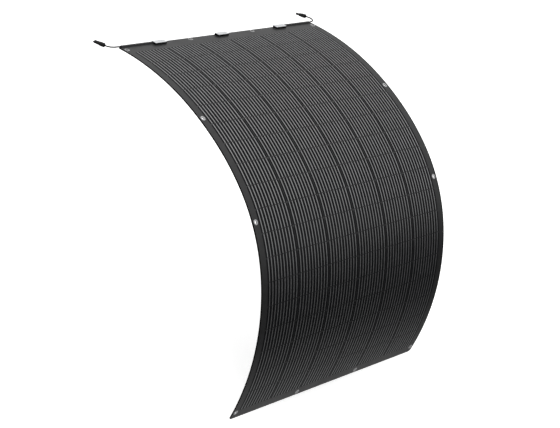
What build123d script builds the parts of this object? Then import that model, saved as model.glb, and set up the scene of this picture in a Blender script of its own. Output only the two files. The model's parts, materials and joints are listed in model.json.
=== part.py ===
"""Flexible solar sheet: a thin laminate of half-cut cells, bent into a curve that hangs from its top edge.

+X is the way the sheet leaves its top edge, +Y runs across it and +Z is up. The origin is half way
between the two eyelets in the top corners, half way through the laminate. The laminate is a chain of
stiff sections, two rows of cells each, with a hinge line in the gap between rows. Every section is an
arc, and neighbouring arcs share a tangent, so the stored shape is one smooth curve.
"""
from build123d import *
from math import cos, radians, sin
import os

# Cells and rows
CELL_LENGTH = 91.0  # along the sheet, half of a 182 mm square cell
CELL_WIDTH = 182.0
ROW_GAP = 1.5
COLUMN_GAP = 2.0
COLUMNS = 6
ROWS_PER_SECTION = 2
SECTIONS = 9

# Laminate
SIDE_MARGIN = 36.0
TOP_MARGIN = 60.0
BOTTOM_MARGIN = 41.5
CORNER_RADIUS = 15.0
BACK_N = -1.25  # levels are distances outward from the middle of the laminate
CELL_BOTTOM_N = 0.10
CELL_TOP_N = 0.45
FRONT_N = 1.25
HINGE_GAP = 0.8
FLAT_TOP = 36.0  # held flat by what is glued to it
SECTION_BENDS = (10.7, 10.0, 8.9, 11.2, 14.7, 14.6, 12.0, 11.1, 12.4)  # degrees

# Eyelets
EYELET_SIDE_INSET = 20.0
CORNER_EYELET_INSET = 34.0  # from the top or the bottom edge
INNER_EYELET_INSETS = {"top": 13.0, "bottom": 18.0}
EYELETS_PER_END = 4
SIDE_EYELETS_S = (490.0, 938.0)  # distances along the sheet from its top edge
HOLE_R = 5.5
BARREL_WALL = 0.5
BARREL_CLEARANCE = 0.1
FLANGE_R = 10.8
FLANGE_THICKNESS = 0.7
FLANGE_LIFT = 0.12  # room for the curve of the sheet under a flat flange
RIM_FILLET = 0.3

# Bus ribbons inside the top and bottom margins
RIBBON_WIDTH = 6.0
RIBBON_OFFSET = 2.5
RIBBON_BREAK = 8.0

# Junction boxes
BOX_LENGTH = 64.0
BOX_WIDTH = 23.0
BOX_HEIGHT = 8.5
BOX_WALL = 1.4
PAD_THICKNESS = 0.5
PAD_RIM = 3.5
LID_THICKNESS = 1.3
LID_PLUG = 0.8
LID_CLEARANCE = 0.1
BOX_FILLET = 1.2
POTTING_HEIGHT = 5.2
TERMINAL_LENGTH = 22.0
TERMINAL_WIDTH = 11.0
TERMINAL_THICKNESS = 0.8
TERMINAL_GAP = 4.0
TERMINAL_LIFT = 0.9
DIODE_LENGTH = 9.0
DIODE_WIDTH = 7.0
DIODE_HEIGHT = 2.4

# Cables and the channel that covers them along the top edge
CABLE_D = 5.5
CABLE_CLEARANCE = 0.1
COVER_WIDTH = 7.4
COVER_WALL = 0.8
COVER_CENTRE_S = 4.2
COVER_END_INSET = 14.0
CABLE_INTO_BOX = 3.0

# Connectors, measured from the back face of the nut along the connector
NUT_LENGTH = 17.0
NUT_R = 8.6
NUT_GROOVES = 12
NUT_GROOVE_R = 0.9
NUT_BACK_WALL = 3.0
CABLE_HOLE_R = CABLE_D / 2 + 0.15
TAIL_START = 3.6
TAIL_R = 6.6
THREAD_CLEARANCE = 0.08
TAIL_BORE_R = 5.0
SEAL_LENGTH = 8.0
COLLAR_START = 17.4
COLLAR_LENGTH = 4.0
COLLAR_R = 8.6
BARREL_LENGTH = 15.0
BARREL_R = 7.4
NOSE_LENGTH = 24.0
NOSE_R = 5.0
NOSE_BORE_R = 3.0
HOOD_LENGTH = 13.0
HOOD_R = 6.6
HOOD_BORE_R = 5.3
LATCH_LENGTH = 24.0
LATCH_WIDTH = 4.6
LATCH_THICKNESS = 1.8
LATCH_BARB = 1.2
CONTACT_R = 2.0
CONTACT_CORE_R = 2.9
SOCKET_HOLE_R = 1.2

# Worked out from the dimensions above
ROW_PITCH = CELL_LENGTH + ROW_GAP
COLUMN_PITCH = CELL_WIDTH + COLUMN_GAP
ROWS = ROWS_PER_SECTION * SECTIONS
SHEET_WIDTH = COLUMNS * COLUMN_PITCH - COLUMN_GAP + 2 * SIDE_MARGIN
SHEET_LENGTH = TOP_MARGIN + ROWS * ROW_PITCH - ROW_GAP + BOTTOM_MARGIN
HALF_WIDTH = SHEET_WIDTH / 2
EYELET_Y = HALF_WIDTH - EYELET_SIDE_INSET
CABLE_R = CABLE_D / 2
CABLE_X = COVER_CENTRE_S - CORNER_EYELET_INSET
CABLE_Z = FRONT_N + CABLE_CLEARANCE + CABLE_R
BOX_YS = {"left": -2 * COLUMN_PITCH, "centre": 0.0, "right": 2 * COLUMN_PITCH}
BOX_X = BOX_WIDTH / 2 - CORNER_EYELET_INSET
MOUTH_Y = HALF_WIDTH - COVER_END_INSET

# Free stretches of the two cables, from the mouth of the cover to the back of the connector's nut
LEFT_LEAD = [
    (CABLE_X, -MOUTH_Y, CABLE_Z),
    (CABLE_X, -MOUTH_Y - 24.0, CABLE_Z),
    (CABLE_X - 4.5, -MOUTH_Y - 39.0, CABLE_Z - 1.0),
    (CABLE_X - 13.0, -MOUTH_Y - 49.0, CABLE_Z - 2.1),
    (CABLE_X - 23.5, -MOUTH_Y - 54.2, CABLE_Z - 3.0),
    (CABLE_X - 35.5, -MOUTH_Y - 55.0, CABLE_Z - 4.0),
]
RIGHT_LEAD = [
    (CABLE_X, MOUTH_Y, CABLE_Z),
    (CABLE_X, MOUTH_Y + 17.0, CABLE_Z),
    (CABLE_X - 5.2, MOUTH_Y + 32.0, CABLE_Z - 0.4),
    (CABLE_X - 15.2, MOUTH_Y + 45.0, CABLE_Z - 1.2),
    (CABLE_X - 28.2, MOUTH_Y + 55.5, CABLE_Z - 2.3),
    (CABLE_X - 47.2, MOUTH_Y + 63.8, CABLE_Z - 3.9),
    (CABLE_X - 77.2, MOUTH_Y + 69.3, CABLE_Z - 9.9),
]
ARC_SHARE = 0.45  # part of the shorter run that an arc may take up

os.makedirs("parts", exist_ok=True)


def save(name, shapes):
    """Write one named node, made of one solid or of a group of separate solids."""
    solids = [solid for shape in shapes for solid in shape.solids()]
    node = solids[0] if len(solids) == 1 else Compound(children=solids)
    export_step(node, f"parts/{name}.step")


# The curve of the sheet


def hinge_s(number):
    """Distance along the sheet to the middle of the row gap after the given section."""
    return TOP_MARGIN + number * ROWS_PER_SECTION * ROW_PITCH - ROW_GAP / 2


def make_runs():
    """Straight and bent runs of the sheet's middle line: start, X, Z, slope, length and bend."""
    ends = [FLAT_TOP] + [hinge_s(number) for number in range(1, SECTIONS)] + [SHEET_LENGTH]
    runs = []
    start, x, z, slope = 0.0, -CORNER_EYELET_INSET, 0.0, 0.0
    for end, bend in zip(ends, (0.0,) + SECTION_BENDS):
        runs.append((start, x, z, slope, end - start, radians(bend)))
        start, x, z, slope = end, *run_point(runs[-1], end)
    return runs


def run_point(run, s):
    """X, Z and downward slope of the middle line at distance s, on one run."""
    start, x, z, slope, length, bend = run
    along = s - start
    if bend == 0.0:
        return x + along * cos(slope), z - along * sin(slope), slope
    radius = length / bend
    angle = slope + along / radius
    return x + radius * (sin(angle) - sin(slope)), z + radius * (cos(angle) - cos(slope)), angle


RUNS = make_runs()


def run_at(s):
    """The run that holds distance s."""
    return next((run for run in RUNS if s <= run[0] + run[4]), RUNS[-1])


def on_sheet(s, y, level):
    """Point at distance s along the sheet, at y across it and at a level from its middle."""
    x, z, angle = run_point(run_at(s), s)
    return Vector(x + level * sin(angle), y, z + level * cos(angle))


def sheet_plane(s, y, level=0.0):
    """Plane that lies in the sheet at one point, with its normal outward."""
    angle = run_point(run_at(s), s)[2]
    return Plane(on_sheet(s, y, level), x_dir=(cos(angle), 0, -sin(angle)), z_dir=(sin(angle), 0, cos(angle)))


def long_edges(start, end, y, level):
    """Edges that follow the sheet at one level, one for each run they cross."""
    stops = [start] + [run[0] for run in RUNS if start < run[0] < end] + [end]
    edges = []
    for first, last in zip(stops, stops[1:]):
        middle = (first + last) / 2
        ends = on_sheet(first + 1e-9, y, level), on_sheet(last, y, level)
        if run_at(middle)[5] == 0.0:
            edges.append(Edge.make_line(*ends))
        else:
            edges.append(Edge.make_three_point_arc(ends[0], on_sheet(middle, y, level), ends[1]))
    return edges


def slab(start, end, y_from, y_to, low, high):
    """Solid layer of the sheet between two distances, two sides and two levels."""
    bottom = long_edges(start, end, y_from, low)
    top = long_edges(start, end, y_from, high)
    sides = [Edge.make_line(bottom[-1] @ 1, top[-1] @ 1), Edge.make_line(bottom[0] @ 0, top[0] @ 0)]
    face = Face(Wire(bottom + top + sides))
    return Solid.extrude(face, Vector(0, y_to - y_from, 0))


# Laminate


def section_ends(number):
    """Distances at which section 1 to SECTIONS starts and ends, with half a hinge gap at each joint."""
    start = 0.0 if number == 1 else hinge_s(number - 1) + HINGE_GAP / 2
    end = SHEET_LENGTH if number == SECTIONS else hinge_s(number) - HINGE_GAP / 2
    return start, end


def cells(number):
    """The half-cut cells of one section."""
    made = []
    for row in range(ROWS_PER_SECTION):
        start = TOP_MARGIN + ((number - 1) * ROWS_PER_SECTION + row) * ROW_PITCH
        for column in range(COLUMNS):
            left = -HALF_WIDTH + SIDE_MARGIN + column * COLUMN_PITCH
            made.append(slab(start, start + CELL_LENGTH, left, left + CELL_WIDTH, CELL_BOTTOM_N, CELL_TOP_N))
    return made


def bus_ribbons(start, breaks):
    """Flat strips across the sheet that link the columns, with a break at each given y."""
    outer = HALF_WIDTH - SIDE_MARGIN
    stops = [-outer - RIBBON_BREAK / 2] + list(breaks) + [outer + RIBBON_BREAK / 2]
    return [
        slab(start, start + RIBBON_WIDTH, a + RIBBON_BREAK / 2, b - RIBBON_BREAK / 2, CELL_BOTTOM_N, CELL_TOP_N)
        for a, b in zip(stops, stops[1:])
    ]


def eyelet_places(number):
    """Distance and y of each eyelet in one section."""
    step = 2 * EYELET_Y / (EYELETS_PER_END - 1)
    inner_ys = [-EYELET_Y + index * step for index in range(1, EYELETS_PER_END - 1)]
    inner_s = (INNER_EYELET_INSETS["top"], SHEET_LENGTH - INNER_EYELET_INSETS["bottom"])
    outer_s = (CORNER_EYELET_INSET, *SIDE_EYELETS_S, SHEET_LENGTH - CORNER_EYELET_INSET)
    start, end = section_ends(number)
    places = [(s, y) for s in inner_s for y in inner_ys]
    places += [(s, y) for s in outer_s for y in (-EYELET_Y, EYELET_Y)]
    return [(s, y) for s, y in places if start < s < end]


def corner_tools(number):
    """Solids that round off the sheet's corners where a section has them."""
    tools = []
    for at_end in (False, True):
        if number != (SECTIONS if at_end else 1):
            continue
        edge_s = SHEET_LENGTH if at_end else 0.0
        inward = -1 if at_end else 1
        for side in (-1, 1):
            plane = sheet_plane(edge_s + inward * CORNER_RADIUS, side * (HALF_WIDTH - CORNER_RADIUS))
            reach = 2 * CORNER_RADIUS
            block = Pos(-inward * CORNER_RADIUS, side * CORNER_RADIUS, 0) * Box(reach, reach, reach)
            tools.append(plane.location * (block - Cylinder(CORNER_RADIUS, 2 * reach)))
    return tools


def build_section(number):
    """One stiff section: the front film, the cells and the back sheet they are set in."""
    start, end = section_ends(number)
    cutters = corner_tools(number)
    for s, y in eyelet_places(number):
        radius = HOLE_R + BARREL_WALL + BARREL_CLEARANCE
        cutters.append(sheet_plane(s, y).location * Cylinder(radius, 10 * FRONT_N))
    ribbons = []
    if number == 1:
        ribbons = bus_ribbons(TOP_MARGIN - RIBBON_OFFSET - RIBBON_WIDTH, BOX_YS.values())
        save("bus_ribbons_top", ribbons)
    if number == SECTIONS:
        last_cell = SHEET_LENGTH - BOTTOM_MARGIN
        ribbons = bus_ribbons(last_cell + RIBBON_OFFSET, (-COLUMN_PITCH, COLUMN_PITCH))
        save("bus_ribbons_bottom", ribbons)
    section_cells = cells(number)
    film = slab(start, end, -HALF_WIDTH, HALF_WIDTH, CELL_TOP_N, FRONT_N)
    back = slab(start, end, -HALF_WIDTH, HALF_WIDTH, BACK_N, CELL_TOP_N)
    if cutters:
        film = film - cutters
    save(f"front_film_{number}", [film])
    save(f"cell_rows_{number}", section_cells)
    save(f"back_sheet_{number}", [back - (cutters + section_cells + ribbons)])


# Eyelets


def eyelet():
    """Two-part eyelet about +Z: a flanged barrel from the front and a washer that it is rolled over."""
    outer_r = HOLE_R + BARREL_WALL
    front = FRONT_N + FLANGE_LIFT
    back = BACK_N - FLANGE_LIFT
    washer_top = back
    washer_bottom = back - FLANGE_THICKNESS
    roll_bottom = washer_bottom - FLANGE_THICKNESS
    flange = Pos(0, 0, front + FLANGE_THICKNESS / 2) * Cylinder(FLANGE_R, FLANGE_THICKNESS)
    flange = fillet(flange.edges().group_by(Axis.Z)[-1], RIM_FILLET)
    height = front - roll_bottom
    barrel = Pos(0, 0, roll_bottom + height / 2) * Cylinder(outer_r, height)
    roll_height = washer_bottom - roll_bottom - BARREL_CLEARANCE
    roll = Pos(0, 0, roll_bottom + roll_height / 2) * Cylinder(outer_r + 2 * BARREL_WALL, roll_height)
    roll = fillet(roll.edges().group_by(Axis.Z)[0], RIM_FILLET)
    shell = flange + barrel + roll - Cylinder(HOLE_R, 20 * FRONT_N)
    washer = Pos(0, 0, (washer_top + washer_bottom) / 2) * Cylinder(FLANGE_R, FLANGE_THICKNESS)
    washer = fillet(washer.edges().group_by(Axis.Z)[0], RIM_FILLET)
    return shell, washer - Cylinder(outer_r + BARREL_CLEARANCE, 20 * FRONT_N)


def build_eyelets(number):
    """Eyelets and washers of one section, each kind as one group."""
    places = eyelet_places(number)
    if not places:
        return
    shell, washer = eyelet()
    save(f"eyelets_{number}", [sheet_plane(s, y).location * shell for s, y in places])
    save(f"eyelet_washers_{number}", [sheet_plane(s, y).location * washer for s, y in places])


# Junction boxes


def box_block(length, width, low, high):
    """Block centred on a junction box, between two heights above the sheet's front."""
    return Pos(0, 0, FRONT_N + (low + high) / 2) * Box(width, length, high - low)


def cable_tool(side):
    """Hole for the cable in the outer end wall of a box, in the box's own place."""
    end_y = side * BOX_LENGTH / 2
    hole = Rot(90, 0, 0) * Cylinder(CABLE_R + CABLE_CLEARANCE / 2, 4 * CABLE_INTO_BOX)
    return Pos(CABLE_X - BOX_X, end_y, CABLE_Z) * hole


def build_box(name, side):
    """Pieces of one junction box about its own centre; side is -1, 0 or 1 for where its cable leaves."""
    inner_length = BOX_LENGTH - 2 * BOX_WALL
    inner_width = BOX_WIDTH - 2 * BOX_WALL
    lid_bottom = BOX_HEIGHT - LID_THICKNESS
    tools = [cable_tool(side)] if side else []

    pad = box_block(BOX_LENGTH, BOX_WIDTH, 0, PAD_THICKNESS)
    pad -= box_block(BOX_LENGTH - 2 * PAD_RIM, BOX_WIDTH - 2 * PAD_RIM, 0, PAD_THICKNESS)
    wall = box_block(BOX_LENGTH, BOX_WIDTH, PAD_THICKNESS, lid_bottom)
    wall = fillet(wall.edges().filter_by(Axis.Z), BOX_FILLET)
    wall -= box_block(inner_length, inner_width, PAD_THICKNESS, lid_bottom)

    lid = box_block(BOX_LENGTH, BOX_WIDTH, lid_bottom, BOX_HEIGHT)
    lid = fillet(lid.edges().filter_by(Axis.Z), BOX_FILLET)
    lid = fillet(lid.edges().group_by(Axis.Z)[-1], BOX_FILLET / 2)
    plug_length = inner_length - 2 * LID_CLEARANCE
    plug_width = inner_width - 2 * LID_CLEARANCE
    lid += box_block(plug_length, plug_width, lid_bottom - LID_PLUG, lid_bottom)

    offset = (TERMINAL_LENGTH + TERMINAL_GAP) / 2
    low = PAD_THICKNESS + TERMINAL_LIFT
    terminal = box_block(TERMINAL_LENGTH, TERMINAL_WIDTH, low, low + TERMINAL_THICKNESS)
    terminals = [Pos(0, sign * offset, 0) * terminal for sign in (-1, 1)]
    diode_low = low + TERMINAL_THICKNESS
    diode = box_block(DIODE_LENGTH, DIODE_WIDTH, diode_low, diode_low + DIODE_HEIGHT)
    potting = box_block(inner_length, inner_width, PAD_THICKNESS, POTTING_HEIGHT)
    potting -= terminals + [diode] + tools

    place = Pos(BOX_X, BOX_YS[name], 0)
    save(f"junction_box_{name}", [place * (wall - tools if tools else wall)])
    save(f"junction_box_lid_{name}", [place * lid])
    return {
        "adhesive_pads": [place * (pad - tools if tools else pad)],
        "terminal_plates": [place * piece for piece in terminals],
        "bypass_diodes": [place * diode],
        "potting_blocks": [place * potting],
    }


def build_boxes():
    """Three junction boxes; their small inner pieces are grouped by kind."""
    groups = {}
    for name, side in (("left", -1), ("centre", 0), ("right", 1)):
        for node, pieces in build_box(name, side).items():
            groups.setdefault(node, []).extend(pieces)
    for node, pieces in groups.items():
        save(node, pieces)


# Cables


def build_cover(name, side):
    """Upturned channel that holds the cable from its box to the sheet's corner."""
    start = side * (abs(BOX_YS[name]) + BOX_LENGTH / 2)
    end = side * MOUTH_Y
    inner_height = CABLE_D + 2 * CABLE_CLEARANCE
    height = inner_height + COVER_WALL
    length = abs(end - start)
    outer = Box(COVER_WIDTH, length, height)
    top_edges = outer.edges().filter_by(Axis.Y).group_by(Axis.Z)[-1]
    outer = fillet(top_edges, 2 * COVER_WALL)
    inner = Pos(0, 0, -COVER_WALL / 2) * Box(COVER_WIDTH - 2 * COVER_WALL, length, inner_height)
    cover = Pos(CABLE_X, (start + end) / 2, FRONT_N + height / 2) * (outer - inner)
    save(f"cable_cover_{name}", [cover])


def held_cable(name, side):
    """Cable under its cover, from just inside the box to the mouth."""
    start = side * (abs(BOX_YS[name]) + BOX_LENGTH / 2 - CABLE_INTO_BOX)
    end = side * MOUTH_Y
    cable = Rot(90, 0, 0) * Cylinder(CABLE_R, abs(end - start))
    return Pos(CABLE_X, (start + end) / 2, CABLE_Z) * cable


def corner_radii(points):
    """Arc radius at each corner of a route, as large as its two runs allow."""
    vectors = [Vector(*b) - Vector(*a) for a, b in zip(points, points[1:])]
    radii = []
    for before, after in zip(vectors, vectors[1:]):
        half_turn = radians(before.get_angle(after) / 2)
        radii.append(ARC_SHARE * min(before.length, after.length) * cos(half_turn) / sin(half_turn))
    return radii


def build_lead(name, points):
    """Free stretch of one cable, a tube of straight runs joined by tangent arcs."""
    radii = corner_radii(points)
    path = FilletPolyline(*points, radius=radii)
    start_plane = Plane(path @ 0, z_dir=path % 0)
    tube = sweep(start_plane * Circle(CABLE_R), path=path)
    section = Circle(CABLE_R).area
    print(name, "length", round(path.length, 1), "radii", [round(radius, 1) for radius in radii])
    print(name, "volume over section times length", round(tube.volume / (section * path.length), 4))
    save(name, [tube])


# Connectors, built along +Z from the back face of the nut


def tube_piece(outer_r, inner_r, start, length):
    """Plain ring or solid cylinder along +Z."""
    piece = Pos(0, 0, start + length / 2) * Cylinder(outer_r, length)
    if inner_r:
        piece -= Pos(0, 0, start + length / 2) * Cylinder(inner_r, 2 * length)
    return piece


def nut():
    """Grooved nut that squeezes the cable seal."""
    piece = tube_piece(NUT_R, CABLE_HOLE_R, 0, NUT_LENGTH)
    piece = chamfer(piece.edges().filter_by(GeomType.CIRCLE).group_by(Axis.Z)[0].sort_by(SortBy.RADIUS)[-1], 1.2)
    cavity_length = NUT_LENGTH - NUT_BACK_WALL
    piece -= tube_piece(TAIL_R + THREAD_CLEARANCE, 0, NUT_BACK_WALL, cavity_length)
    groove = Pos(NUT_R + NUT_GROOVE_R / 3, 0, NUT_LENGTH / 2) * Cylinder(NUT_GROOVE_R, 2 * NUT_LENGTH)
    return piece - [Rot(0, 0, index * 360 / NUT_GROOVES) * groove for index in range(NUT_GROOVES)]


def body_back():
    """Tail, collar and barrel that both connector bodies share."""
    tail = tube_piece(TAIL_R, 0, TAIL_START, COLLAR_START - TAIL_START)
    collar = tube_piece(COLLAR_R, 0, COLLAR_START, COLLAR_LENGTH)
    collar = fillet(collar.edges().filter_by(GeomType.CIRCLE), 2 * RIM_FILLET)
    barrel = tube_piece(BARREL_R, 0, COLLAR_START + COLLAR_LENGTH, BARREL_LENGTH)
    seal_room = tube_piece(TAIL_BORE_R, 0, TAIL_START, SEAL_LENGTH)
    core = tube_piece(CONTACT_CORE_R, 0, TAIL_START, COLLAR_START + COLLAR_LENGTH + BARREL_LENGTH - TAIL_START)
    return tail + collar + barrel - [seal_room, core]


BARREL_END = COLLAR_START + COLLAR_LENGTH + BARREL_LENGTH


def plug_body():
    """Body with an open hood round its pin and a latch arm on each side."""
    hood = tube_piece(HOOD_R, HOOD_BORE_R, BARREL_END, HOOD_LENGTH)
    body = body_back() + hood
    for sign in (-1, 1):
        arm_x = sign * (BARREL_R + LATCH_THICKNESS / 2 - RIM_FILLET)
        start = BARREL_END - LATCH_LENGTH / 3
        arm = Pos(arm_x, 0, start + LATCH_LENGTH / 2) * Box(LATCH_THICKNESS, LATCH_WIDTH, LATCH_LENGTH)
        barb_x = arm_x - sign * (LATCH_THICKNESS + LATCH_BARB) / 2
        barb_z = start + LATCH_LENGTH - LATCH_BARB
        barb = Pos(barb_x, 0, barb_z) * Box(LATCH_BARB, LATCH_WIDTH, 2 * LATCH_BARB)
        body += [arm, barb]
    return body


def socket_body():
    """Body with a long nose round its socket and a latch window on each side."""
    nose = tube_piece(NOSE_R, NOSE_BORE_R, BARREL_END, NOSE_LENGTH)
    nose = chamfer(nose.edges().group_by(Axis.Z)[-1].sort_by(SortBy.RADIUS)[-1], 2 * RIM_FILLET)
    body = body_back() + nose
    window_depth = BARREL_R - CONTACT_CORE_R
    for sign in (-1, 1):
        window_x = sign * (BARREL_R - window_depth / 4)
        window = Pos(window_x, 0, BARREL_END - BARREL_LENGTH / 3) * Box(window_depth / 2, LATCH_WIDTH, LATCH_WIDTH)
        body -= window
    return body


def contact(length, hole):
    """Crimped contact: a barrel on the conductor and a pin or a hollow socket."""
    start = TAIL_START + SEAL_LENGTH
    crimp_length = BARREL_END - 2 - start
    crimp = tube_piece(CONTACT_CORE_R, 0, start, crimp_length)
    stem = tube_piece(CONTACT_R, 0, start + crimp_length, length)
    if not hole:
        return crimp + fillet(stem.edges().group_by(Axis.Z)[-1], CONTACT_R / 2)
    return crimp + stem - tube_piece(SOCKET_HOLE_R, 0, start + crimp_length + 2, length)


def build_connectors():
    """A plug on the left cable and a socket on the right one."""
    seals = []
    cable_ends = []
    for name, route, body, inner in (
        ("left", LEFT_LEAD, plug_body(), contact(HOOD_LENGTH - 1, False)),
        ("right", RIGHT_LEAD, socket_body(), contact(NOSE_LENGTH - 2, True)),
    ):
        axis = (Vector(*route[-1]) - Vector(*route[-2])).normalized()
        place = Plane(route[-1], x_dir=axis.cross(Vector(0, 0, 1)), z_dir=axis).location
        kind = "plug" if name == "left" else "socket"
        save(f"{kind}_body_{name}", [place * body])
        save(f"{kind}_contact_{name}", [place * inner])
        save(f"gland_nut_{name}", [place * nut()])
        seals.append(place * tube_piece(TAIL_BORE_R, CABLE_R, TAIL_START, SEAL_LENGTH))
        cable_ends.append(place * tube_piece(CABLE_R, 0, 0, TAIL_START + SEAL_LENGTH))
        tip = Vector(*route[-1]) + axis * NUT_LENGTH
        print(f"gland_nut_{name} axis", axis, "from", route[-1], "front", tip)
    save("cable_seals", seals)
    save("cable_ends_in_connectors", cable_ends)


for section in range(1, SECTIONS + 1):
    build_section(section)
    build_eyelets(section)
build_boxes()
for cover_name, cover_side in (("left", -1), ("right", 1)):
    build_cover(cover_name, cover_side)
save("cables_under_covers", [held_cable("left", -1), held_cable("right", 1)])
build_lead("lead_left", LEFT_LEAD)
build_lead("lead_right", RIGHT_LEAD)
build_connectors()
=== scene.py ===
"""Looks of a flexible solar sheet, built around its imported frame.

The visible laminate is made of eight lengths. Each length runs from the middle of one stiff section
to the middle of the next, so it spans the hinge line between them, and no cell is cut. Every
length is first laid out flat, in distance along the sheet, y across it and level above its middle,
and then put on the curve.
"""

import json
import math

import bmesh
import bpy
import numpy as np
from mathutils import Matrix, Vector


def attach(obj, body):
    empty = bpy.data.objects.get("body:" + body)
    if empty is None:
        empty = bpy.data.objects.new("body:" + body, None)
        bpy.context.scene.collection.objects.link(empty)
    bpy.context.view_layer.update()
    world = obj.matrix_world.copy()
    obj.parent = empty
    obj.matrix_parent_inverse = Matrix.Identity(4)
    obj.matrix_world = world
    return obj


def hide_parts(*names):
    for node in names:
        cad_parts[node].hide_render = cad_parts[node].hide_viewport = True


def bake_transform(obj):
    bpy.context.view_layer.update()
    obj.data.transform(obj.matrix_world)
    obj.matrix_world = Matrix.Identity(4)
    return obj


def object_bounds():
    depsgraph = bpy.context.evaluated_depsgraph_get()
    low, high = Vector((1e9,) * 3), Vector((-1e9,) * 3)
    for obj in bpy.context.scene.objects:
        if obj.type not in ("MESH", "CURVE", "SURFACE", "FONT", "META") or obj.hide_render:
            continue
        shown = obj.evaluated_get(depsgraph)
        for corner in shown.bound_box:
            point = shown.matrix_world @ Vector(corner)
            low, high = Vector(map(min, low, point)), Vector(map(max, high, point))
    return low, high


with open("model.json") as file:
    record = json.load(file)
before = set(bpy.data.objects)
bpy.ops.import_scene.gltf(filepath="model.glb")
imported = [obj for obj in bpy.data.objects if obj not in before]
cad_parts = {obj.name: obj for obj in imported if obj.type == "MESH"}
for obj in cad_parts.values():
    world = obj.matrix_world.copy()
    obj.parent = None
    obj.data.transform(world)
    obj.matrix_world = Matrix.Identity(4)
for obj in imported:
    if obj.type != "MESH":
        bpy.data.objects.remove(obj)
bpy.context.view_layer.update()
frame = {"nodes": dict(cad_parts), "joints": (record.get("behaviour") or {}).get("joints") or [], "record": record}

# Cells, rows and margins, in metres
CELL_LENGTH = 0.091
CELL_WIDTH = 0.182
ROW_GAP = 0.0015
COLUMN_GAP = 0.002
COLUMNS = 6
ROWS = 18
TOP_MARGIN = 0.060
SIDE_MARGIN = 0.036
BOTTOM_MARGIN = 0.0415
FLAT_TOP = 0.036
CORNER_RADIUS = 0.015
LAST_BEND = math.radians(12.4)
LENGTHS = 8  # visible lengths of laminate, one over each hinge line

# Levels above the middle of the laminate
BACK_N = -0.00125
SPLIT_N = 0.0004
FRONT_N = 0.00125
CELL_RISE = 0.00006
RIBBON_RISE = 0.00012

# Fine detail
STEP = 0.0078  # longest flat facet along the sheet
CELL_CHAMFER = 0.006
RIBBONS = 10
RIBBON_PITCH = 0.0176
RIBBON_WIDTH = 0.005
RIBBON_INSET = 0.0008
RIBBON_BEVEL = 0.0004
EDGE_BAND = 0.005  # trimmed edge along both sides
SHARP_ANGLE = math.radians(30)

# Eyelets
EYELET_SIDE_INSET = 0.020
CORNER_EYELET_INSET = 0.034
INNER_EYELET_INSETS = (0.013, 0.018)  # from the top edge and from the bottom edge
SIDE_EYELETS_S = (0.490, 0.938)
EYELETS_PER_END = 4
HOLE_R = 0.0061
SIDE_PAIRS = ((3, 2), (5, 5))  # section whose nodes they are, and visible length that they sit on

# Cables
CABLE_D = 0.0055
CABLE_X = -0.0298
CABLE_Z = 0.0041
MOUTH_Y = 0.573  # mouth of a cable cover, where its lead comes out
CORD_STEPS = 24  # straight steps that a cord is drawn with, for each point of its route
CORD_ROUNDNESS = 8

# Worked out
ROW_PITCH = CELL_LENGTH + ROW_GAP
COLUMN_PITCH = CELL_WIDTH + COLUMN_GAP
HALF_WIDTH = (COLUMNS * COLUMN_PITCH - COLUMN_GAP) / 2 + SIDE_MARGIN
SHEET_LENGTH = TOP_MARGIN + ROWS * ROW_PITCH - ROW_GAP + BOTTOM_MARGIN
EYELET_Y = HALF_WIDTH - EYELET_SIDE_INSET
EYELET_STEP = 2 * EYELET_Y / (EYELETS_PER_END - 1)
JOINTS = {joint["name"]: joint for joint in frame["joints"]}


# Camera and cords


CAMERA_PLACE = (4.2318, -5.2485, 2.2378)
CAMERA_RIGHT = (0.72726, 0.64445, 0.23616)
CAMERA_FORWARD = (-0.53157, 0.74652, -0.40018)
SENSOR_WIDTH = 36.0  # millimetres, as is the lens
LENS = 110.8
VIEW_REACH = 100.0


def add_camera():
    """Camera at the photograph's angle."""
    right = Vector(CAMERA_RIGHT).normalized()
    forward = Vector(CAMERA_FORWARD).normalized()
    up = right.cross(forward)
    data = bpy.data.cameras.new("camera")
    data.sensor_width = SENSOR_WIDTH
    data.lens = LENS
    data.clip_end = VIEW_REACH
    camera = bpy.data.objects.new("camera", data)
    bpy.context.scene.collection.objects.link(camera)
    turn = Matrix((right, up, -forward)).transposed().to_4x4()
    camera.matrix_world = Matrix.Translation(CAMERA_PLACE) @ turn
    bpy.context.scene.camera = camera


LEFT_ROUTE = [
    (CABLE_X, -MOUTH_Y, CABLE_Z),
    (CABLE_X, -MOUTH_Y - 0.024, CABLE_Z),
    (CABLE_X - 0.0045, -MOUTH_Y - 0.039, CABLE_Z - 0.001),
    (CABLE_X - 0.013, -MOUTH_Y - 0.049, CABLE_Z - 0.0021),
    (CABLE_X - 0.0235, -MOUTH_Y - 0.0542, CABLE_Z - 0.003),
    (CABLE_X - 0.0355, -MOUTH_Y - 0.055, CABLE_Z - 0.004),
]
RIGHT_ROUTE = [
    (CABLE_X, MOUTH_Y, CABLE_Z),
    (CABLE_X, MOUTH_Y + 0.017, CABLE_Z),
    (CABLE_X - 0.0052, MOUTH_Y + 0.032, CABLE_Z - 0.0004),
    (CABLE_X - 0.0152, MOUTH_Y + 0.045, CABLE_Z - 0.0012),
    (CABLE_X - 0.0282, MOUTH_Y + 0.0555, CABLE_Z - 0.0023),
    (CABLE_X - 0.0472, MOUTH_Y + 0.0638, CABLE_Z - 0.0039),
    (CABLE_X - 0.0772, MOUTH_Y + 0.0693, CABLE_Z - 0.0099),
]


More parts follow.
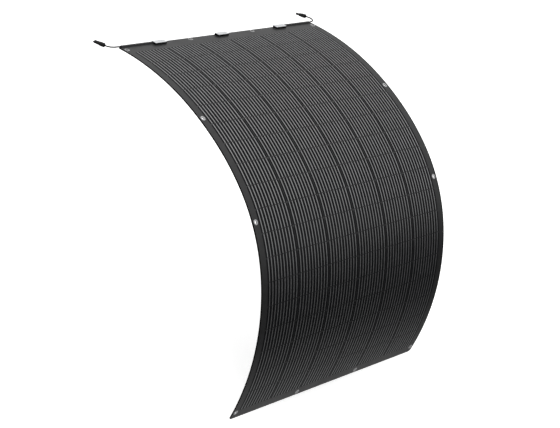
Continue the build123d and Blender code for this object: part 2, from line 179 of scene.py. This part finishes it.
def add_cord(name, route, node, finish):
    """Free stretch of cable from the mouth of its cover to the back of its connector."""
    curve = bpy.data.curves.new(name, "CURVE")
    curve.dimensions = "3D"
    curve.resolution_u = CORD_STEPS
    curve.bevel_depth = CABLE_D / 2
    curve.bevel_resolution = CORD_ROUNDNESS
    curve.use_fill_caps = True
    spline = curve.splines.new("NURBS")
    spline.points.add(len(route) - 1)
    for point, place in zip(spline.points, route):
        point.co = (*place, 1.0)
    spline.order_u = 3
    spline.use_endpoint_u = True
    piece = bpy.data.objects.new(name, curve)
    bpy.context.scene.collection.objects.link(piece)
    curve.materials.append(finish)
    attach(piece, "section_1")
    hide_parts(node)


# The curve of the sheet


def make_runs():
    """Runs of the middle line from the top edge to the bottom edge: start, X, Z, slope, length, bend.

    Each arc leaves its start along the slope there and ends on the next hinge line.
    """
    runs = [(0.0, -CORNER_EYELET_INSET, 0.0, 0.0, FLAT_TOP, 0.0)]
    start, x, z, slope = FLAT_TOP, FLAT_TOP - CORNER_EYELET_INSET, 0.0, 0.0
    for number in range(1, LENGTHS + 1):
        hinge_x, _, hinge_z = JOINTS[f"bend_{number}"]["pos_m"]
        chord = math.hypot(hinge_x - x, hinge_z - z)
        half = math.atan2(z - hinge_z, hinge_x - x) - slope
        length = chord * half / math.sin(half)
        runs.append((start, x, z, slope, length, 2 * half))
        start, x, z, slope = start + length, hinge_x, hinge_z, slope + 2 * half
    runs.append((start, x, z, slope, SHEET_LENGTH - start, LAST_BEND))
    return runs


RUNS = make_runs()


def on_curve(points):
    """Puts flat points (s, y, level) on the curve."""
    s, y, level = np.asarray(points, float).T
    s = np.clip(s, 0.0, SHEET_LENGTH)
    starts = np.array([run[0] for run in RUNS])
    index = np.clip(np.searchsorted(starts, s, side="right") - 1, 0, len(RUNS) - 1)
    start, x, z, slope, length, bend = np.array(RUNS)[index].T
    along = s - start
    straight = bend == 0.0
    radius = length / np.where(straight, 1.0, bend)
    angle = slope + np.where(straight, 0.0, along / radius)
    middle_x = x + np.where(straight, along * np.cos(slope), radius * (np.sin(angle) - np.sin(slope)))
    middle_z = z + np.where(straight, -along * np.sin(slope), radius * (np.cos(angle) - np.cos(slope)))
    return np.stack([middle_x + level * np.sin(angle), y, middle_z + level * np.cos(angle)], 1)


def middle_s(number):
    """Distance to the middle of a stiff section, in the gap between its two rows."""
    return TOP_MARGIN + (2 * number - 1) * ROW_PITCH - ROW_GAP / 2


def length_ends(number):
    """Distances at which a visible length starts and ends."""
    start = 0.0 if number == 1 else middle_s(number)
    end = SHEET_LENGTH if number == LENGTHS else middle_s(number + 1)
    return start, end


def length_rows(number):
    """Rows of cells, counted from 0, that lie on a visible length."""
    start, end = length_ends(number)
    return [row for row in range(ROWS) if start < row_start(row) < end]


def row_start(row):
    """Distance at which a row of cells starts."""
    return TOP_MARGIN + row * ROW_PITCH


def stations(start, end):
    """Distances from start to end, close enough together to look smooth on the curve."""
    return np.linspace(start, end, max(2, math.ceil((end - start) / STEP) + 1))


# Meshes


class Flat:
    """Closed strips and prisms in flat coordinates, gathered into one mesh."""

    def __init__(self):
        self.points = []
        self.faces = []

    def add_loft(self, sections):
        """Strip through sections of equal size, each a ring of points in the same order."""
        base = len(self.points)
        size = len(sections[0])
        for section in sections:
            self.points.extend(section)
        for row in range(len(sections) - 1):
            for corner in range(size):
                a = base + row * size + corner
                b = base + row * size + (corner + 1) % size
                self.faces.append((a, b, b + size, a + size))
        last = base + (len(sections) - 1) * size
        self.faces.append(tuple(base + corner for corner in reversed(range(size))))
        self.faces.append(tuple(last + corner for corner in range(size)))

    def add_strip(self, distances, left, right, low, high, bevel=0.0):
        """Strip with its sides at left and right, which are one number or one for each distance."""
        left = np.broadcast_to(left, len(distances))
        right = np.broadcast_to(right, len(distances))
        self.add_loft([
            [(s, a, low), (s, b, low), (s, b - bevel, high), (s, a + bevel, high)]
            for s, a, b in zip(distances, left, right)
        ])

    def add_banded_strip(self, distances, half, band, low, high):
        """Full-width strip whose top has a narrow band along each side."""
        self.add_loft([
            [(s, -half, low), (s, half, low), (s, half, high),
             (s, half - band, high), (s, band - half, high), (s, -half, high)]
            for s in distances
        ])

    def add_prism(self, outline, low, high):
        """Prism on a closed outline of (s, y) points that runs anticlockwise in s and y."""
        self.add_loft([[(s, y, level) for s, y in outline] for level in (low, high)])

    def make(self, name, curved=True):
        """Object with these faces, on the curve, with the flat layout in metres as its UV map."""
        mesh = bpy.data.meshes.new(name)
        mesh.from_pydata(self.points, [], self.faces)
        piece = bpy.data.objects.new(name, mesh)
        bpy.context.scene.collection.objects.link(piece)
        return put_on_curve(piece) if curved else piece


def put_on_curve(piece):
    """Moves a flat mesh onto the curve and keeps its flat layout as a UV map."""
    mesh = piece.data
    points = np.empty(3 * len(mesh.vertices), np.float32)
    mesh.vertices.foreach_get("co", points)
    points = points.reshape(-1, 3)
    corners = np.empty(len(mesh.loops), np.int32)
    mesh.loops.foreach_get("vertex_index", corners)
    layout = mesh.uv_layers.new(name="sheet")
    layout.data.foreach_set("uv", points[corners][:, [1, 0]].ravel())
    mesh.vertices.foreach_set("co", on_curve(points).astype(np.float32).ravel())
    mesh.update()
    fix_normals(mesh)
    return piece


def fix_normals(mesh):
    """Turns faces outward and shades them smooth, with sharp corners."""
    work = bmesh.new()
    work.from_mesh(mesh)
    bmesh.ops.recalc_face_normals(work, faces=work.faces)
    work.to_mesh(mesh)
    work.free()
    mesh.shade_smooth()
    mesh.set_sharp_from_angle(angle=SHARP_ANGLE)


def cut(piece, tool):
    """Takes a flat tool out of a flat piece, and removes the tool."""
    modifier = piece.modifiers.new("cut", "BOOLEAN")
    modifier.operation = "DIFFERENCE"
    modifier.solver = "EXACT"
    modifier.object = tool
    bpy.context.view_layer.update()
    made = bpy.data.meshes.new_from_object(piece.evaluated_get(bpy.context.evaluated_depsgraph_get()))
    piece.modifiers.clear()
    piece.data = made
    bpy.data.objects.remove(tool)


def eyelet_places():
    """Distance and y of every eyelet."""
    inner_ys = [-EYELET_Y + index * EYELET_STEP for index in range(1, EYELETS_PER_END - 1)]
    inner_s = (INNER_EYELET_INSETS[0], SHEET_LENGTH - INNER_EYELET_INSETS[1])
    outer_s = (CORNER_EYELET_INSET, *SIDE_EYELETS_S, SHEET_LENGTH - CORNER_EYELET_INSET)
    places = [(s, y) for s in inner_s for y in inner_ys]
    return places + [(s, y) for s in outer_s for y in (-EYELET_Y, EYELET_Y)]


def circle(s, y, radius, count=48):
    """Outline of a round hole."""
    turns = [2 * math.pi * index / count for index in range(count)]
    return [(s + radius * math.cos(turn), y + radius * math.sin(turn)) for turn in turns]


def corner_outline(at_end, side, count=12):
    """Outline of what a rounded corner leaves off."""
    edge_s = SHEET_LENGTH if at_end else 0.0
    inward = -1 if at_end else 1
    centre_s = edge_s + inward * CORNER_RADIUS
    centre_y = side * (HALF_WIDTH - CORNER_RADIUS)
    margin = CORNER_RADIUS / 3
    turns = [math.pi / 2 * index / count for index in range(count + 1)]
    radius = CORNER_RADIUS
    arc = [
        (centre_s - inward * radius * math.cos(turn), centre_y + side * radius * math.sin(turn))
        for turn in turns
    ]
    outer_s = edge_s - inward * margin
    outer_y = side * (HALF_WIDTH + margin)
    outline = [(outer_s, arc[0][1])] + arc + [(arc[-1][0], outer_y), (outer_s, outer_y)]
    return outline if inward * side > 0 else outline[::-1]


def slab(name, number, low, high):
    """One visible length of a full-width layer, with eyelet holes and rounded corners."""
    start, end = length_ends(number)
    body = Flat()
    body.add_banded_strip(stations(start, end), HALF_WIDTH, EDGE_BAND, low, high)
    piece = body.make(name, curved=False)
    tool = Flat()
    reach = 4 * FRONT_N
    for s, y in eyelet_places():
        if start < s < end:
            tool.add_prism(circle(s, y, HOLE_R), -reach, reach)
    for at_end, owner in ((False, 1), (True, LENGTHS)):
        if number == owner:
            for side in (-1, 1):
                tool.add_prism(corner_outline(at_end, side), -reach, reach)
    if tool.points:
        cut(piece, tool.make("tool", curved=False))
    for face in piece.data.polygons:
        face.material_index = 1 if abs(face.center.y) > HALF_WIDTH - EDGE_BAND else 0
    return put_on_curve(piece)


def cell_strips(number):
    """Half-cut cells of one visible length, with two corners cut off as on the wafer."""
    cells = Flat()
    for row in length_rows(number):
        start = row_start(row)
        distances = np.insert(stations(start + CELL_CHAMFER, start + CELL_LENGTH), 0, start)
        inset = np.zeros(len(distances))
        inset[0] = CELL_CHAMFER
        for column in range(COLUMNS):
            left = -HALF_WIDTH + SIDE_MARGIN + column * COLUMN_PITCH
            right = left + CELL_WIDTH
            cells.add_strip(distances, left + inset, right - inset, SPLIT_N, FRONT_N + CELL_RISE)
    return cells.make(f"cells_{number}")


def ribbon_strips(number):
    """Metal ribbons along every cell of one visible length."""
    ribbons = Flat()
    for row in length_rows(number):
        start = row_start(row) + RIBBON_INSET
        distances = stations(start, start + CELL_LENGTH - 2 * RIBBON_INSET)
        for column in range(COLUMNS):
            centre = -HALF_WIDTH + SIDE_MARGIN + column * COLUMN_PITCH + CELL_WIDTH / 2
            for index in range(RIBBONS):
                y = centre + (index - (RIBBONS - 1) / 2) * RIBBON_PITCH
                sides = y - RIBBON_WIDTH / 2, y + RIBBON_WIDTH / 2
                ribbons.add_strip(distances, *sides, FRONT_N, FRONT_N + RIBBON_RISE, RIBBON_BEVEL)
    return ribbons.make(f"ribbons_{number}")


def bend_over_hinge(piece):
    """Bakes a piece's placement into its mesh."""
    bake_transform(piece)


def dress(piece, finish, nodes):
    """Gives a piece its material and hides the nodes that it stands for."""
    piece.data.materials.append(finish)
    if nodes:
        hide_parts(*nodes)


def add_laminate(finishes):
    """Film, cells, ribbons and back sheet of every visible length."""
    for number in range(1, LENGTHS + 1):
        owners = [number, number + 1] if number == LENGTHS else [number]
        film = slab(f"film_{number}", number, SPLIT_N, FRONT_N)
        dress(film, finishes["film"], [f"front_film_{owner}" for owner in owners])
        film.data.materials.append(finishes["film_edge"])
        back = slab(f"back_{number}", number, BACK_N, SPLIT_N)
        dress(back, finishes["back_sheet"], [f"back_sheet_{owner}" for owner in owners])
        back.data.materials.append(finishes["film_edge"])
        cells = cell_strips(number)
        dress(cells, finishes["cell"], [f"cell_rows_{owner}" for owner in owners])
        ribbons = ribbon_strips(number)
        dress(ribbons, finishes["ribbon"], [])
        for piece in (film, back, cells, ribbons):
            bend_over_hinge(piece)


# Materials


class Finish:
    """Small helper that builds one node material."""

    def __init__(self, name, color, roughness, metallic=0.0, specular=0.5):
        self.material = bpy.data.materials.new(name)
        self.material.use_nodes = True
        self.nodes = self.material.node_tree.nodes
        self.links = self.material.node_tree.links
        self.shader = self.nodes["Principled BSDF"]
        self.shader.inputs["Base Color"].default_value = (*color, 1.0)
        self.shader.inputs["Roughness"].default_value = roughness
        self.shader.inputs["Metallic"].default_value = metallic
        self.shader.inputs["Specular IOR Level"].default_value = specular
        self.color = color
        self.normal = None

    def node(self, kind, inputs=None, **settings):
        """Adds a node, with its settings and the values or links of its inputs."""
        made = self.nodes.new(kind)
        for key, value in settings.items():
            setattr(made, key, value)
        for key, value in (inputs or {}).items():
            if isinstance(value, bpy.types.NodeSocket):
                self.links.new(value, made.inputs[key])
            else:
                made.inputs[key].default_value = value
        return made

    def layout(self, scale=(1, 1, 1)):
        """Flat position on the sheet, in metres, scaled."""
        source = self.node("ShaderNodeUVMap", uv_map="sheet")
        return self.node("ShaderNodeMapping", {"Vector": source.outputs[0], "Scale": scale}).outputs[0]

    def place(self, scale=(1, 1, 1)):
        """Position in the object's frame, in metres, scaled."""
        source = self.node("ShaderNodeTexCoord").outputs["Object"]
        return self.node("ShaderNodeMapping", {"Vector": source, "Scale": scale}).outputs[0]

    def noise(self, vector, per_metre, detail=3.0, roughness=0.55):
        """Noise texture's value, with that many lumps in a metre."""
        return self.node(
            "ShaderNodeTexNoise",
            {"Vector": vector, "Scale": per_metre, "Detail": detail, "Roughness": roughness},
        ).outputs["Fac"]

    def ramp(self, value, low, high, at=(0.3, 0.7)):
        """Two-colour ramp; low and high are grey values or colours."""
        made = self.node("ShaderNodeValToRGB", {"Fac": value})
        for element, place, level in zip(made.color_ramp.elements, at, (low, high)):
            element.position = place
            element.color = (*level, 1.0) if isinstance(level, tuple) else (level, level, level, 1.0)
        return made.outputs["Color"]

    def vary_color(self, value, low, high, at=(0.3, 0.7)):
        """Base colour that moves between two multiples of the plain colour."""
        colors = [tuple(channel * share for channel in self.color) for share in (low, high)]
        self.links.new(self.ramp(value, *colors, at), self.shader.inputs["Base Color"])

    def vary_roughness(self, value, low, high, at=(0.3, 0.7)):
        """Roughness that moves between two values."""
        self.links.new(self.ramp(value, low, high, at), self.shader.inputs["Roughness"])

    def bump(self, height, depth):
        """Adds a bump layer, with its depth in metres, on top of those already there."""
        inputs = {"Height": height, "Distance": depth, "Strength": 1.0}
        if self.normal is not None:
            inputs["Normal"] = self.normal
        self.normal = self.node("ShaderNodeBump", inputs).outputs["Normal"]
        self.links.new(self.normal, self.shader.inputs["Normal"])


FILM_GRAIN = 900.0  # dimples in the film, per metre
FILM_WAVE_DEPTH = 0.0006
FILM_DIMPLE_DEPTH = 0.00003
RIBBON_DENT_DEPTH = 0.00002
TRIM_MARK_DEPTH = 0.00004
FIBRE_DEPTH = 0.00005
MOULD_GRAIN_DEPTH = 0.00002
DRAG_MARK_DEPTH = 0.00002
SCRATCH_DEPTH = 0.00001
SILICON_DARK = (0.0027, 0.0029, 0.0033)
SILICON_LIGHT = (0.0041, 0.0043, 0.005)
FINGER_SCALE = 225.0  # of the wave texture, which is a contact finger every 1.4 mm
FINGER_COLOR = (0.03, 0.03, 0.033, 1.0)
FINGER_EDGES = (0.92, 0.99)  # heights of the wave between which a finger shows


def film_skin(finish):
    """What the front film does to every layer under it: fine dimples and faint waves."""
    sheet = finish.layout()
    dimples = finish.node(
        "ShaderNodeTexVoronoi", {"Vector": sheet, "Scale": FILM_GRAIN}, feature="SMOOTH_F1"
    ).outputs["Distance"]
    finish.bump(finish.noise(sheet, per_metre=14.0, detail=2.0), FILM_WAVE_DEPTH)
    finish.bump(dimples, FILM_DIMPLE_DEPTH)


def film_finish():
    """Satin clear film over black encapsulant."""
    finish = Finish("film_over_black", (0.017, 0.0172, 0.0178), 0.34, specular=0.34)
    sheet = finish.layout()
    finish.vary_color(finish.noise(sheet, per_metre=60.0), 0.82, 1.2)
    finish.vary_roughness(finish.noise(sheet, per_metre=9.0), 0.3, 0.4)
    film_skin(finish)
    return finish.material


def cell_finish():
    """Near-black silicon with hair-thin contact fingers, under the film."""
    finish = Finish("silicon_cell", (0.0034, 0.0036, 0.0041), 0.3, specular=0.05)
    sheet = finish.layout()
    fingers = finish.node(
        "ShaderNodeTexWave",
        {"Vector": sheet, "Scale": FINGER_SCALE},
        wave_type="BANDS",
        bands_direction="Y",
        wave_profile="SIN",
    ).outputs["Fac"]
    mottling = finish.ramp(finish.noise(sheet, per_metre=35.0), SILICON_DARK, SILICON_LIGHT)
    lines = finish.node(
        "ShaderNodeMix",
        {"Factor": finish.ramp(fingers, 0.0, 1.0, FINGER_EDGES)},
        data_type="RGBA",
    )
    finish.links.new(mottling, lines.inputs["A"])
    lines.inputs["B"].default_value = FINGER_COLOR
    finish.links.new(lines.outputs["Result"], finish.shader.inputs["Base Color"])
    film_skin(finish)
    return finish.material


def ribbon_finish():
    """Tinned copper ribbon, a little uneven, seen through the film."""
    finish = Finish("tinned_ribbon", (0.315, 0.317, 0.322), 0.42, metallic=1.0)
    sheet = finish.layout((1, 0.25, 1))
    finish.vary_color(finish.noise(sheet, per_metre=60.0), 0.9, 1.08)
    finish.vary_roughness(finish.noise(sheet, per_metre=90.0), 0.38, 0.47)
    finish.bump(finish.noise(sheet, per_metre=300.0), RIBBON_DENT_DEPTH)
    return finish.material


def edge_finish():
    """Trimmed edge of the laminate, where matte black encapsulant shows past the film."""
    finish = Finish("trimmed_edge", (0.0022, 0.0022, 0.0023), 0.8, specular=0.03)
    sheet = finish.layout()
    finish.vary_color(finish.noise(sheet, per_metre=120.0), 0.7, 1.3)
    finish.bump(finish.noise(finish.layout((1, 0.2, 1)), per_metre=700.0), TRIM_MARK_DEPTH)
    return finish.material


def back_finish():
    """Matte black back sheet with a fine fibre grain."""
    finish = Finish("back_sheet", (0.028, 0.028, 0.029), 0.62, specular=0.35)
    warp = finish.noise(finish.layout((1, 0.12, 1)), per_metre=1500.0, detail=2.0)
    weft = finish.noise(finish.layout((0.12, 1, 1)), per_metre=1500.0, detail=2.0)
    finish.vary_color(finish.noise(finish.layout(), per_metre=45.0), 0.85, 1.2)
    finish.bump(warp, FIBRE_DEPTH)
    finish.bump(weft, FIBRE_DEPTH)
    return finish.material


def moulded_finish(name, color, roughness, specular=0.45):
    """Moulded plastic with spark-eroded grain and faint flow marks."""
    finish = Finish(name, color, roughness, specular=specular)
    place = finish.place()
    finish.vary_color(finish.noise(place, per_metre=90.0), 0.86, 1.12)
    finish.vary_roughness(finish.noise(place, per_metre=160.0), roughness * 0.85, roughness * 1.2)
    finish.bump(finish.noise(place, per_metre=2600.0, detail=2.0), MOULD_GRAIN_DEPTH)
    return finish.material


def rubber_finish(name, color, roughness=0.55, specular=0.4):
    """Extruded jacket or rubber ring with fine lengthwise drag marks."""
    finish = Finish(name, color, roughness, specular=specular)
    place = finish.place()
    finish.vary_color(finish.noise(place, per_metre=120.0), 0.8, 1.25)
    finish.vary_roughness(finish.noise(place, per_metre=300.0), roughness * 0.85, roughness * 1.15)
    finish.bump(finish.noise(place, per_metre=1400.0), DRAG_MARK_DEPTH)
    return finish.material


def metal_finish(name, color, roughness):
    """Pressed metal with fine scratches and a slight cloudiness."""
    finish = Finish(name, color, roughness, metallic=1.0)
    place = finish.place()
    finish.vary_color(finish.noise(place, per_metre=200.0), 0.88, 1.05)
    smears = finish.noise(finish.place((1, 6, 1)), per_metre=400.0)
    finish.vary_roughness(smears, roughness * 0.75, roughness * 1.3)
    finish.bump(finish.noise(finish.place((1, 9, 1)), per_metre=900.0, detail=4.0), SCRATCH_DEPTH)
    return finish.material


def make_finishes():
    """Every material by its slot in the record, and that of the trimmed edges."""
    return {
        "film": film_finish(),
        "film_edge": edge_finish(),
        "cell": cell_finish(),
        "ribbon": ribbon_finish(),
        "back_sheet": back_finish(),
        "steel_eyelet": metal_finish("eyelet_steel", (0.56, 0.56, 0.57), 0.26),
        "steel_washer": metal_finish("washer_steel", (0.66, 0.66, 0.67), 0.34),
        "adhesive": rubber_finish("adhesive_foam", (0.02, 0.02, 0.02), 0.8),
        "copper": metal_finish("bare_copper", (0.86, 0.5, 0.34), 0.3),
        "diode": moulded_finish("diode_epoxy", (0.015, 0.015, 0.016), 0.4),
        "potting": rubber_finish("potting_silicone", (0.05, 0.05, 0.055), 0.4),
        "lid": moulded_finish("lid_plastic", (0.5, 0.51, 0.52), 0.4),
        "box": moulded_finish("box_plastic", (0.003, 0.003, 0.0032), 0.5, specular=0.06),
        "cover": moulded_finish("cover_plastic", (0.045, 0.045, 0.0465), 0.34, specular=0.4),
        "cable": rubber_finish("cable_jacket", (0.003, 0.003, 0.0032), 0.55, 0.12),
        "seal": rubber_finish("seal_rubber", (0.02, 0.02, 0.02), 0.6),
        "nut": moulded_finish("nut_plastic", (0.006, 0.006, 0.0065), 0.4, specular=0.3),
        "connector": moulded_finish("connector_plastic", (0.007, 0.007, 0.0075), 0.36, specular=0.3),
        "contact": metal_finish("tinned_contact", (0.74, 0.73, 0.7), 0.3),
    }


def dress_nodes(finishes):
    """Gives every CAD node the material of its slot."""
    for part in frame["record"]["subparts"]:
        mesh = frame["nodes"][part["node"]].data
        mesh.materials.clear()
        mesh.materials.append(finishes[part["material_slot"]])


def add_side_eyelets(finishes):
    """Side eyelets and washers as separate pieces, copied from their nodes."""
    for section, length in SIDE_PAIRS:
        for name, node, slot_name in (
            ("side_eyelets", f"eyelets_{section}", "steel_eyelet"),
            ("side_washers", f"eyelet_washers_{section}", "steel_washer"),
        ):
            piece = bpy.data.objects.new(f"{name}_{section}", frame["nodes"][node].data.copy())
            bpy.context.scene.collection.objects.link(piece)
            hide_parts(node)
            bend_over_hinge(piece)


# Stage


FLOOR_DROP = 0.06
FLOOR_SIZE = 60.0
BACKDROP_RADIUS = 45.0
# Place from the bottom of the dome, 0, to its top, 1, and brightness there
DOME_LEVELS = [
    (0.0, 0.75), (0.2, 0.45), (0.31, 0.08), (0.5, 0.06),
    (0.62, 0.74), (0.72, 0.66), (0.82, 1.0), (1.0, 0.88),
]
LAMP_PLACE = (1.2, -1.3, 3.8)
LAMP_AIM = (0.4, 0.0, -0.3)
LAMP_SIZE = 3.0
LAMP_POWER = 120.0


def add_paper(name, color, glow):
    """Makes the selected mesh white paper that throws no light on the object."""
    piece = bpy.context.object
    piece.name = name
    piece.visible_glossy = False
    piece.visible_diffuse = False
    paper = Finish(f"{name}_paper", color, 0.9, specular=0.0)
    paper.shader.inputs["Emission Color"].default_value = (1, 1, 1, 1)
    paper.shader.inputs["Emission Strength"].default_value = glow
    piece.data.materials.append(paper.material)
    return piece


def add_floor_and_backdrop():
    """Plain white floor under the sheet, and a white surround past its edge, seen from low angles."""
    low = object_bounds()[0]
    bpy.ops.mesh.primitive_plane_add(size=FLOOR_SIZE, location=(0, 0, low.z - FLOOR_DROP))
    add_paper("floor", color=(0.93, 0.93, 0.93), glow=0.55)
    bpy.ops.mesh.primitive_uv_sphere_add(segments=64, ring_count=32, radius=BACKDROP_RADIUS)
    backdrop = add_paper("backdrop", color=(0.0, 0.0, 0.0), glow=1.0)
    backdrop.visible_shadow = False


def add_light():
    """Soft studio dome, bright above and below and dark near the horizon, and one large lamp."""
    world = bpy.data.worlds.new("studio")
    world.use_nodes = True
    bpy.context.scene.world = world
    nodes, links = world.node_tree.nodes, world.node_tree.links
    source = nodes.new("ShaderNodeTexCoord")
    split = nodes.new("ShaderNodeSeparateXYZ")
    height = nodes.new("ShaderNodeMapRange")
    ramp = nodes.new("ShaderNodeValToRGB")
    height.inputs["From Min"].default_value = -1.0
    links.new(source.outputs["Generated"], split.inputs[0])
    links.new(split.outputs["Z"], height.inputs["Value"])
    links.new(height.outputs["Result"], ramp.inputs["Fac"])
    while len(ramp.color_ramp.elements) < len(DOME_LEVELS):
        ramp.color_ramp.elements.new(0.5)
    for element, (place, level) in zip(ramp.color_ramp.elements, DOME_LEVELS):
        element.position = place
        element.color = (level, level, level, 1.0)
    links.new(ramp.outputs["Color"], nodes["Background"].inputs["Color"])

    lamp = bpy.data.lights.new("key", "AREA")
    lamp.shape = "DISK"
    lamp.size = LAMP_SIZE
    lamp.energy = LAMP_POWER
    key = bpy.data.objects.new("key", lamp)
    bpy.context.scene.collection.objects.link(key)
    key.location = LAMP_PLACE
    key.rotation_euler = (Vector(LAMP_AIM) - key.location).to_track_quat("-Z", "Y").to_euler()


add_camera()
FINISHES = make_finishes()
dress_nodes(FINISHES)
add_cord("lead_left_cord", LEFT_ROUTE, "lead_left",
         FINISHES["cable"])
add_cord("lead_right_cord", RIGHT_ROUTE, "lead_right",
         FINISHES["cable"])
add_laminate(FINISHES)
add_side_eyelets(FINISHES)
add_floor_and_backdrop()
add_light()
bpy.context.scene.view_settings.view_transform = "Standard"
